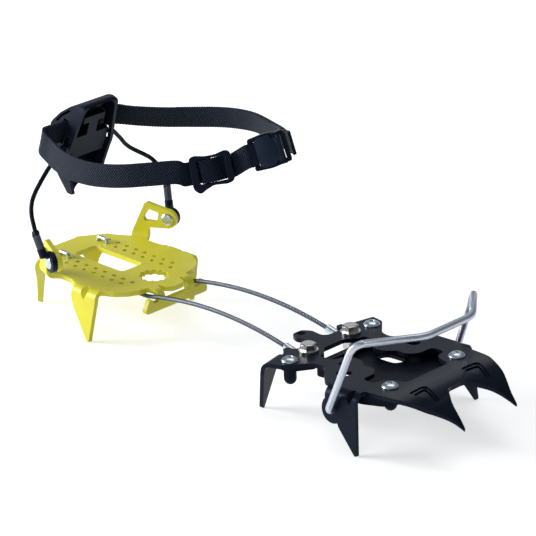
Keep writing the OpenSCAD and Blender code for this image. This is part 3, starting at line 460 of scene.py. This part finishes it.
def woven_webbing():
    """Flat nylon webbing in plain weave, with a dusty sheen on the crowns, painted highlight on the crowns
    and painted shade in the hollows of the weave
    """
    colour = colours().webbing
    f = Finish("woven_webbing", colour, 0.62)
    parts = f.node("SeparateXYZ", Vector=f.along())
    along = f.math("MULTIPLY", parts.outputs["X"], math.pi / (WEFT_PITCH * MM))
    across = f.math("MULTIPLY", parts.outputs["Y"], math.pi * WARP_ENDS / sizes().strap_width)
    floats = f.math("MULTIPLY", f.math("SINE", along), f.math("SINE", across))
    weave = f.math("ADD", f.math("MULTIPLY", floats, 0.7), 0.85)
    fuzz = f.noise(f.place(), 3000.0, detail=2.0)
    height = f.math("ADD", weave, f.math("MULTIPLY", fuzz, 0.35))
    crown = f.span(height, 0.0, 1.0, start=0.2, end=1.6)
    # Painted shade and highlight: the colour darkens in the weave's hollows and lightens on its crowns, with
    # a random fuzz
    f.link(f.mix(crown, tinted(colour, 0.15), tinted(colour, 1.9)), "Base Color")
    f.link(f.span(fuzz, 0.42, 0.58), "Roughness")
    f.put("Specular Tint", COOL_GLOSS)
    f.link(f.span(crown, 0.0, 0.3), "Specular IOR Level")
    f.put("Sheen Weight", 0.02)
    f.put("Sheen Roughness", 0.5)
    f.put("Sheen Tint", SHEEN_TINT)
    f.bump(height, strength=0.9, distance=0.0003)
    return f.material


FINISHES = {}


def finish(make):
    """A finish is made once and shared by its pieces"""
    if make.__name__ not in FINISHES:
        FINISHES[make.__name__] = make()
    return FINISHES[make.__name__]


# Modelling


def deselect():
    if bpy.context.mode != "OBJECT":
        bpy.ops.object.mode_set(mode="OBJECT")
    bpy.ops.object.select_all(action="DESELECT")


def take(piece):
    deselect()
    piece.select_set(True)
    bpy.context.view_layer.objects.active = piece


def apply_modifier(piece, kind, **settings):
    take(piece)
    modifier = piece.modifiers.new(kind.title(), kind)
    for name, value in settings.items():
        setattr(modifier, name, value)
    bpy.ops.object.modifier_apply(modifier=modifier.name)


def dress(piece, make, body, slot, *nodes):
    """Gives a finished piece its material, its body and the nodes that it stands for"""
    piece.data.materials.clear()
    piece.data.materials.append(finish(make))
    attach(piece, body)
    if nodes:
        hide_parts(*nodes)
    return piece


# Lengths in metres and angles in degrees, for cleaning, rounding and shading a copied node
MERGE = 7e-5
FLAT_ANGLE = 1.0
BEVEL_ANGLE = 40.0
SMOOTH_ANGLE = 35.0
WIRE_SMOOTH = 60.0


def softened(node, edge, make, slot, smooth=SMOOTH_ANGLE):
    """A copy of a CAD node that stands for it, its edges rounded as far as its shortest edges allow"""
    source = frame["nodes"][node]
    piece = bpy.data.objects.new(node + "_finish", source.data.copy())
    bpy.context.scene.collection.objects.link(piece)
    take(piece)
    bpy.ops.object.mode_set(mode="EDIT")
    bpy.ops.mesh.select_all(action="SELECT")
    bpy.ops.mesh.remove_doubles(threshold=MERGE)
    bpy.ops.mesh.dissolve_degenerate(threshold=MERGE)
    bpy.ops.mesh.dissolve_limited(angle_limit=math.radians(FLAT_ANGLE))
    bpy.ops.object.mode_set(mode="OBJECT")
    if edge > 0:
        apply_modifier(
            piece,
            "BEVEL",
            width=edge,
            segments=2,
            limit_method="ANGLE",
            angle_limit=math.radians(BEVEL_ANGLE),
            use_clamp_overlap=True,
            miter_outer="MITER_ARC",
        )
    take(piece)
    bpy.ops.object.shade_smooth_by_angle(angle=math.radians(smooth))
    if edge > 0:
        apply_modifier(piece, "WEIGHTED_NORMAL", weight=80, keep_sharp=True)
    return dress(piece, make, source["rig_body"], slot, node)


def grid(name, along, across):
    """A flat unit grid, whose points are then put on their route"""
    deselect()
    bpy.ops.mesh.primitive_grid_add(x_subdivisions=along, y_subdivisions=across, size=1)
    piece = bpy.context.object
    piece.name = name
    piece.data.name = name
    return piece


def scale_uv(piece, length, width):
    for corner in piece.data.uv_layers.active.data:
        corner.uv = (corner.uv[0] * length, corner.uv[1] * width)


def spline(route, steps=8):
    """A smooth line through given points"""
    points = [Vector(p) for p in route]
    last = len(points) - 1
    line = []
    for i in range(last):
        a, b = points[max(i - 1, 0)], points[i]
        c, d = points[i + 1], points[min(i + 2, last)]
        for k in range(steps):
            t = k / steps
            square = (2 * a - 5 * b + 4 * c - d) * t**2
            cube = (3 * b - a - 3 * c + d) * t**3
            line.append(0.5 * (2 * b + (c - a) * t + square + cube))
    return line + [points[last]]


def evenly(line, step):
    """The same line in equal steps"""
    lengths = [0.0]
    for a, b in zip(line, line[1:]):
        lengths.append(lengths[-1] + (b - a).length)
    count = max(2, round(lengths[-1] / step))
    points = []
    k = 0
    for i in range(count + 1):
        s = lengths[-1] * i / count
        while k < len(line) - 2 and lengths[k + 1] < s:
            k += 1
        span = lengths[k + 1] - lengths[k]
        points.append(line[k].lerp(line[k + 1], (s - lengths[k]) / span if span else 0.0))
    return points


def bent(corners, radii, step=0.6):
    """The line of a bent wire: straights joined by arcs"""
    points = [Vector(p) for p in corners]
    line = [points[0]]
    for i in range(1, len(points) - 1):
        u = (points[i - 1] - points[i]).normalized()
        v = (points[i + 1] - points[i]).normalized()
        half = u.angle(v) / 2
        run = radii[i] / math.tan(half)
        centre = points[i] + (u + v).normalized() * radii[i] / math.sin(half)
        start = points[i] + u * run - centre
        sweep = math.pi - 2 * half
        axis = (-u).cross(v)
        steps = max(4, int(sweep * radii[i] / step))
        for k in range(steps + 1):
            line.append(centre + Matrix.Rotation(sweep * k / steps, 3, axis) @ start)
    return line + [points[-1]]


def heading(line, i):
    return (line[min(i + 1, len(line) - 1)] - line[max(i - 1, 0)]).normalized()


def on_base(p):
    return (Vector(p) + Vector((BOLTS_X, 0, 0))) * MM


# Webbing

# Lengths in millimetres, angles in degrees, and shares of the strap's width
STRAP_STEP = 0.4
STRAP_ACROSS = 28
# Points on each side over which the direction of the upper edge is averaged
STEADY = 15
SELVEDGE_WAVE = 0.012
SELVEDGE_FROM = 0.45
SELVEDGE_ROUND = 0.4
SELVEDGE_ANGLE = 60.0
STRAP_SMOOTH = 50.0


def strap_up(way, lean):
    """Direction of the upper edge of a strap that runs this way"""
    left = Vector((0, 0, 1)).cross(way).normalized()
    return way.cross(left).normalized() * math.cos(lean) + left * math.sin(lean)


def float_height(along, across):
    """Height of the weave's floats at a distance along the strap and a share of its width"""
    return FLOAT_HEIGHT * math.sin(math.pi * along / WEFT_PITCH) * math.sin(math.pi * across * WARP_ENDS)


def steadied(ups):
    """Directions averaged along the strap, which shears in a short bend as webbing does"""
    near = [ups[max(0, i - STEADY) : i + STEADY + 1] for i in range(len(ups))]
    return [sum(some, Vector()).normalized() for some in near]


def strap(name, route, lean, held=None):
    """Woven strap along a route: a grid laid on it, its weave raised, thickened, with rounded selvedges. Its
    upper edge leans, or is held in one direction where it folds back"""
    width = sizes().strap_width
    line = evenly(spline(route), STRAP_STEP)
    piece = grid(name, len(line) - 1, STRAP_ACROSS)
    ways = [heading(line, i) for i in range(len(line))]
    ups = steadied([strap_up(way, lean) if held is None else held for way in ways])
    for vertex in piece.data.vertices:
        i = round((vertex.co.x + 0.5) * (len(line) - 1))
        v = vertex.co.y
        weft = math.sin(math.pi * i * STRAP_STEP / WEFT_PITCH)
        wave = 1 + SELVEDGE_WAVE * weft * (abs(v) > SELVEDGE_FROM)
        lift = ways[i].cross(ups[i]) * float_height(i * STRAP_STEP, v + 0.5) * MM
        vertex.co = on_base(line[i]) + ups[i] * width * v * wave + lift
    scale_uv(piece, (len(line) - 1) * STRAP_STEP * MM, width)
    apply_modifier(piece, "SOLIDIFY", thickness=sizes().strap_thickness, offset=0.0)
    apply_modifier(
        piece,
        "BEVEL",
        width=SELVEDGE_ROUND * MM,
        segments=2,
        limit_method="ANGLE",
        angle_limit=math.radians(SELVEDGE_ANGLE),
        use_clamp_overlap=True,
    )
    take(piece)
    bpy.ops.object.shade_smooth_by_angle(angle=math.radians(STRAP_SMOOTH))
    return piece


# Routes in millimetres from the cable bolts, through the lever's slot and round the ankle
SLOT_CENTRE = (-184.999, 0.0, 106.061)
SLOT_HALF = 12.0
RIGHT_SIDE = [
    (-186.2, -19.2, 105.361), (-189, -22.8, 104.5), (-189.8, -27, 103.8), (-186, -30.4, 102.4),
    (-178, -33.2, 101), (-164, -40, 101.4), (-148, -46.6, 103), (-132, -51.4, 105.6),
    (-118, -53, 108), (-103, -50.6, 110.8), (-89, -44.6, 113.8), (-76, -37.6, 116.4),
]
LEFT_SIDE = [
    (-186, 19.4, 105.461), (-188, 23.4, 104.9), (-186.4, 27.8, 104.1), (-178, 33.4, 103.6),
    (-164, 40, 104.6), (-148, 46.6, 106.8), (-132, 51.4, 109.5), (-118, 53, 111.7),
    (-103, 50.6, 114.2), (-89, 45, 116.4), (-68, 33.6, 120.2), (-52, 21.4, 125.2), (-39, 9.6, 130.4),
]
RING_AT = Vector((-59.4, -26.8, 119.2))
RING_WAY = Vector((0.67, 0.69, 0.19)).normalized()
BUCKLE_AT = Vector((-37.5, -6.5, 130.3))
BUCKLE_WAY = Vector((0.66, 0.68, 0.3)).normalized()
BUCKLE_FOLD = (12.4, -1.4)
STRAP_LAYER = 1.8
UNDER_RING = -2.5
OVER_BAR = 1.0
# The tail starts between two points of the left side, and its last stretch ends before the buckle
TAIL_FROM = 5
TAIL_PAST = 0.36
TAIL_LIFT = 1.5
TAIL_STEPS = 4


def on_strap(at, way, x, z):
    """A place in a buckle's frame: along the strap and out of its face"""
    up = strap_up(way, sizes().strap_lean)
    return at + way * x + way.cross(up) * z


def by_ring(x, z):
    return on_strap(RING_AT, RING_WAY, x, z)


def by_buckle(x, z):
    return on_strap(BUCKLE_AT, BUCKLE_WAY, x, z)


def ankle_route():
    """From under the ring round the right side, through the lever and round the left side to the buckle"""
    under = UNDER_RING - STRAP_LAYER
    ring_end = [by_ring(0, under), by_ring(-5, under), by_ring(-10, under), by_ring(-15, UNDER_RING - 1)]
    through = [Vector(SLOT_CENTRE) + Vector((0, y, 0)) for y in (-SLOT_HALF, 0, SLOT_HALF)]
    buckle_end = [by_buckle(*BUCKLE_FOLD), by_buckle(11.4, 0.4)]
    return ring_end + RIGHT_SIDE[::-1] + through + LEFT_SIDE + buckle_end


def tail_route():
    """The free end, back from the buckle inside the left side and a little higher"""
    lean = -sizes().strap_lean
    start = Vector(LEFT_SIDE[TAIL_FROM]).lerp(Vector(LEFT_SIDE[TAIL_FROM - 1]), TAIL_PAST)
    line = spline([start, *LEFT_SIDE[TAIL_FROM:], by_buckle(*BUCKLE_FOLD)], TAIL_STEPS)
    inside = []
    for i, p in enumerate(line):
        way = heading(line, i)
        up = strap_up(way, lean)
        inside.append(p + up * TAIL_LIFT + way.cross(up) * STRAP_LAYER)
    return inside[:-TAIL_STEPS]


def short_route():
    """Round the ring's bar and on to the buckle"""
    under = [by_ring(0, UNDER_RING), by_ring(-3.8, UNDER_RING), by_ring(-5.7, UNDER_RING + 0.5)]
    fold = [by_ring(-6.3, -0.8), by_ring(-5.8, 0.6), by_ring(-4.2, OVER_BAR)]
    over = [by_ring(0, OVER_BAR - 0.1), by_ring(2.4, -0.4), by_ring(5.4, UNDER_RING)]
    leave = [by_ring(8, UNDER_RING - 0.1), by_ring(11, UNDER_RING)]
    return under + fold + over + leave + [by_buckle(-13, -0.3), by_buckle(-9.6, 0), by_buckle(-6.8, 0)]


# Cables

# Sizes of the link cables and of what holds them, in millimetres and degrees
HEEL_SHEET = 2.8
FRONT_SHEET = 2.4
FRONT_Z = 29.7
TOE_PITCH = 3.0
EYE_THICKNESS = 2.2
BOLT_Y = 16.6
TERMINAL_X = -8.6
BARREL_FREE = 2
HOLE_PITCH = 7.25
HOOK_HOLE = 7
INNER_ROW_Y = 14.9
CRIMP_D = 3.4
CRIMP_GAP = 0.15
CRIMP_LEAD = 3
CRIMP_HALF = 4
CABLE_SLOPE = 12.4
CABLE_DIP = 12
CABLE_DIP_R = 22
CABLE_STRAIGHT = 4
CABLE_ARC_SHARE = 0.94
CABLE_STEP = 0.5
# Relief of the strands as a share of the radius, and points round each
STRAND_DEPTH = 0.24
STRAND_POINTS = 6
SEAM_MERGE = 1e-6
TUBE_SMOOTH = 70.0


def tube(name, line, radius, around, sections):
    """A tube along a line: a grid wrapped round it, its seam merged and its ends closed. sections gives the
    radius in units of the tube's radius, at a distance along and an angle"""
    piece = grid(name, len(line) - 1, around)
    normal = heading(line, 0).orthogonal().normalized()
    frames = []
    run = 0.0
    for i, point in enumerate(line):
        way = heading(line, i)
        normal = (normal - way * normal.dot(way)).normalized()
        if i:
            run += (point - line[i - 1]).length
        frames.append((point, normal.copy(), way.cross(normal), run))
    for vertex in piece.data.vertices:
        i = round((vertex.co.x + 0.5) * (len(line) - 1))
        angle = 2 * math.pi * (vertex.co.y + 0.5)
        point, first, second, s = frames[i]
        r = radius * sections(s, angle)
        vertex.co = point + (first * math.cos(angle) + second * math.sin(angle)) * r
    scale_uv(piece, run, 2 * math.pi * radius)
    take(piece)
    bpy.ops.object.mode_set(mode="EDIT")
    bpy.ops.mesh.select_all(action="SELECT")
    bpy.ops.mesh.remove_doubles(threshold=SEAM_MERGE)
    bpy.ops.mesh.fill_holes(sides=0)
    bpy.ops.mesh.select_all(action="SELECT")
    bpy.ops.mesh.normals_make_consistent(inside=False)
    bpy.ops.object.mode_set(mode="OBJECT")
    bpy.ops.object.shade_smooth_by_angle(angle=math.radians(TUBE_SMOOTH))
    return piece


def twisted(strands, lay):
    """Cross section of a rope: lobes that turn once in each lay"""

    def section(s, angle):
        lobe = abs(math.cos(strands / 2 * (angle - 2 * math.pi * s / lay)))
        return 1 - STRAND_DEPTH + STRAND_DEPTH * lobe

    return section


def link_line(which):
    """Line of a link cable, from under the heel plate up over the gap to its terminal"""
    slope = math.tan(math.radians(CABLE_SLOPE))
    low_z = HEEL_Z - HEEL_SHEET - CRIMP_D / 2 - CRIMP_GAP
    crimp_x = HEEL_X - HOLE_PITCH * HOOK_HOLE + CRIMP_LEAD
    front_z = FRONT_Z + TERMINAL_X * math.tan(math.radians(TOE_PITCH)) - FRONT_SHEET - EYE_THICKNESS / 2
    dip_x = HEEL_X + CABLE_DIP
    apex_x = (dip_x + TERMINAL_X) / 2 + (front_z - low_z) / 2 / slope
    apex_z = low_z + (apex_x - dip_x) * slope

    def at(x, z):
        share = (BOLT_Y - INNER_ROW_Y) * (x - crimp_x) / (TERMINAL_X - crimp_x)
        return Vector((x, INNER_ROW_Y + share, z))

    front = at(TERMINAL_X, front_z)
    top = at(apex_x, apex_z)
    low = at(dip_x, low_z)
    rear = at(crimp_x, low_z) + Vector((CRIMP_HALF, 0, 0))
    end = front + (top - front).normalized() * BARREL_FREE
    arc = CABLE_ARC_SHARE * min((top - front).length, (top - low).length - CABLE_STRAIGHT) / slope
    line = bent([rear, low, top, end], [0, CABLE_DIP_R, arc, 0])
    return [on_base((p.x, p.y * which, p.z)) for p in evenly(line, CABLE_STEP)]


def link_cable(which, side):
    strands = sizes().cable_strands
    section = twisted(strands, sizes().cable_lay)
    radius = sizes().cable_diameter / 2
    piece = tube(f"link_cable_{side}_strands", link_line(which), radius, strands * STRAND_POINTS, section)
    return dress(piece, cable_strand, "base", "cable_steel", f"link_cable_{side}")


# Stage

FLOOR_LIFT = 0.55
FLOOR_RADIUS = 14.0
FLOOR_SHADE = (0.895, 0.895, 0.895)
WHITE = (1.0, 1.0, 1.0, 1.0)
WORLD_LIGHT = 0.22
SKY = (0.80, 0.89, 1.0, 1.0)
# Name, place, what it aims at, size and watts of each softbox
SOFTBOXES = (
    ("key", (-2.0, -1.35, 0.75), (0.0, 0.0, 0.06), (1.2, 0.9), 62.0),
    ("fill", (0.6, -2.2, 0.9), (0.0, 0.0, 0.05), (1.0, 1.0), 6.0),
    ("top", (-0.3, 0.6, 2.0), (0.0, 0.0, 0.05), (1.6, 1.0), 11.0),
    ("sheen", (-1.35, 1.5, 1.0), (0.0, 0.0, 0.05), (1.1, 0.7), 1.6),
)
CAMERA_AT = (1.14937, -1.21960, 0.75810)
LOOK_AT = (0.003209, 0.000154, 0.059303)
LENS = 228.05
SENSOR = 36.0
CLIP_END = 100.0


def look(obj, at, target):
    obj.location = at
    obj.rotation_euler = (Vector(target) - Vector(at)).to_track_quat("-Z", "Y").to_euler()


def softbox(name, at, target, size, power):
    light = bpy.data.lights.new(name, "AREA")
    light.shape = "RECTANGLE"
    light.size, light.size_y = size
    light.energy = power
    lamp = bpy.data.objects.new(name, light)
    bpy.context.scene.collection.objects.link(lamp)
    look(lamp, at, target)
    return lamp


def floor_finish():
    """Pale floor that the camera, and glossy and clear surfaces, see as white where it is unshaded"""
    f = Finish("studio_floor", colours().floor, 0.9)
    f.put("Specular IOR Level", 0.0)
    path = f.node("LightPath").outputs
    mirrored = f.math("MAXIMUM", path["Is Glossy Ray"], path["Is Transmission Ray"])
    seen = f.math("MAXIMUM", path["Is Camera Ray"], mirrored)
    f.link(f.math("MULTIPLY", seen, FLOOR_LIFT), "Emission Strength")
    f.put("Emission Color", WHITE)
    f.link(f.mix(f.noise(f.place(), 3.0), FLOOR_SHADE, colours().floor), "Base Color")
    return f.material


class CRAMPON_OT_stage(bpy.types.Operator):
    """Floor, soft studio light and the camera"""

    bl_idname = "crampon.stage"
    bl_label = "Stage"

    def execute(self, context):
        scene = context.scene
        scene.view_settings.view_transform = "Standard"
        camera = bpy.data.objects.new("camera", bpy.data.cameras.new("camera"))
        scene.collection.objects.link(camera)
        camera.data.sensor_width = SENSOR
        camera.data.lens = LENS
        camera.data.clip_end = CLIP_END
        look(camera, CAMERA_AT, LOOK_AT)
        scene.camera = camera
        deselect()
        bpy.ops.mesh.primitive_circle_add(vertices=64, radius=FLOOR_RADIUS, fill_type="NGON")
        floor = context.object
        floor.name = "studio_floor"
        floor.data.materials.append(floor_finish())
        for box in SOFTBOXES:
            softbox(*box)
        world = bpy.data.worlds.new("studio")
        scene.world = world
        world.use_nodes = True
        back = world.node_tree.nodes["Background"]
        back.inputs["Color"].default_value = SKY
        back.inputs["Strength"].default_value = WORLD_LIGHT
        return {"FINISHED"}


class CRAMPON_OT_plates(bpy.types.Operator):
    """Front plate, heel plate and the anti-balling pad"""

    bl_idname = "crampon.plates"
    bl_label = "Plates"

    def execute(self, context):
        edge = sizes().plate_edge
        softened("front_plate", edge, coated_steel, "steel_black")
        softened("heel_plate", edge, anodised_plate, "anodised_yellow")
        softened("antiball_pad", sizes().moulded_edge, pad_rubber, "pad_rubber")
        return {"FINISHED"}


class CRAMPON_OT_fasteners(bpy.types.Operator):
    """Screws, bolts, nuts, rivets, terminals, hooks and crimps"""

    bl_idname = "crampon.fasteners"
    bl_label = "Fasteners"

    def execute(self, context):
        edge = sizes().fastener_edge
        for node in ("pad_screws", "ear_rivets"):
            softened(node, edge, zinc_plating, "zinc")
        for node in ("cable_bolts", "cable_nuts"):
            softened(node, edge, stainless_turned, "stainless")
        for side in ("left", "right"):
            for node in ("cable_terminal", "hook_crimp"):
                softened(f"{node}_{side}", edge, zinc_plating, "zinc")
            softened(f"cable_hook_{side}", 0, zinc_plating, "zinc")
        softened("buckle_pin", 0, stainless_turned, "stainless")
        return {"FINISHED"}


class CRAMPON_OT_bail(bpy.types.Operator):
    """Toe bail"""

    bl_idname = "crampon.bail"
    bl_label = "Toe Bail"

    def execute(self, context):
        softened("toe_bail", 0, bail_wire, "stainless", smooth=WIRE_SMOOTH)
        return {"FINISHED"}


class CRAMPON_OT_cables(bpy.types.Operator):
    """Link cables with their strands, and the jacketed heel cable with its eyelets and sleeves"""

    bl_idname = "crampon.cables"
    bl_label = "Cables"

    def execute(self, context):
        link_cable(LEFT, "left")
        link_cable(RIGHT, "right")
        softened("heel_cable", 0, cable_jacket, "cable_coating", smooth=WIRE_SMOOTH)
        for side in ("left", "right"):
            softened(f"cable_eyelet_{side}", sizes().moulded_edge, moulded_plastic, "black_plastic")
            softened(f"cable_sleeve_{side}", sizes().moulded_edge, smoky_sleeve, "sleeve_plastic")
        return {"FINISHED"}


class CRAMPON_OT_lever(bpy.types.Operator):
    """Heel lever and its height carriage"""

    bl_idname = "crampon.lever"
    bl_label = "Heel Lever"

    def execute(self, context):
        for node in ("lever_shell", "lever_carriage"):
            softened(node, sizes().moulded_edge, moulded_plastic, "black_plastic")
        return {"FINISHED"}


class CRAMPON_OT_webbing(bpy.types.Operator):
    """Ankle strap, its tail and the short strap between the ring and the buckle"""

    bl_idname = "crampon.webbing"
    bl_label = "Webbing"

    def execute(self, context):
        lean = sizes().strap_lean
        held = (strap_up(RING_WAY, lean) + strap_up(BUCKLE_WAY, lean)).normalized()
        for name, piece in (
            ("ankle_strap", strap("ankle_strap_weave", ankle_route(), -lean)),
            ("strap_tail", strap("strap_tail_weave", tail_route(), -lean)),
            ("short_strap", strap("short_strap_weave", short_route(), lean, held)),
        ):
            dress(piece, woven_webbing, "lever", "webbing", name)
        return {"FINISHED"}


class CRAMPON_OT_buckles(bpy.types.Operator):
    """Slide ring and cam buckle"""

    bl_idname = "crampon.buckles"
    bl_label = "Buckles"

    def execute(self, context):
        for node, make in (
            ("slide_ring", moulded_plastic), ("buckle_frame", moulded_plastic), ("buckle_cam", cam_plastic)
        ):
            softened(node, sizes().moulded_edge, make, "black_plastic")
        return {"FINISHED"}


class CRAMPON_PT_panel(bpy.types.Panel):
    """Lists the pieces and their sizes and colours"""

    bl_idname = "CRAMPON_PT_panel"
    bl_label = "Crampon"
    bl_space_type = "VIEW_3D"
    bl_region_type = "UI"
    bl_category = "Crampon"

    def draw(self, context):
        for operator in OPERATORS:
            self.layout.operator(operator.bl_idname)
        for group in (context.scene.crampon_sizes, context.scene.crampon_colours):
            for name in group.__annotations__:
                self.layout.prop(group, name)


OPERATORS = (
    CRAMPON_OT_stage,
    CRAMPON_OT_plates,
    CRAMPON_OT_fasteners,
    CRAMPON_OT_bail,
    CRAMPON_OT_cables,
    CRAMPON_OT_lever,
    CRAMPON_OT_webbing,
    CRAMPON_OT_buckles,
)
CLASSES = (CramponSizes, CramponColours, *OPERATORS, CRAMPON_PT_panel)


def register():
    for made in CLASSES:
        bpy.utils.register_class(made)
    bpy.types.Scene.crampon_sizes = bpy.props.PointerProperty(type=CramponSizes)
    bpy.types.Scene.crampon_colours = bpy.props.PointerProperty(type=CramponColours)


def unregister():
    del bpy.types.Scene.crampon_colours
    del bpy.types.Scene.crampon_sizes
    for made in reversed(CLASSES):
        bpy.utils.unregister_class(made)


def main():
    register()
    bpy.ops.crampon.stage()
    bpy.ops.crampon.plates()
    bpy.ops.crampon.fasteners()
    bpy.ops.crampon.bail()
    bpy.ops.crampon.cables()
    bpy.ops.crampon.lever()
    bpy.ops.crampon.webbing()
    bpy.ops.crampon.buckles()


if __name__ == "__main__":
    main()
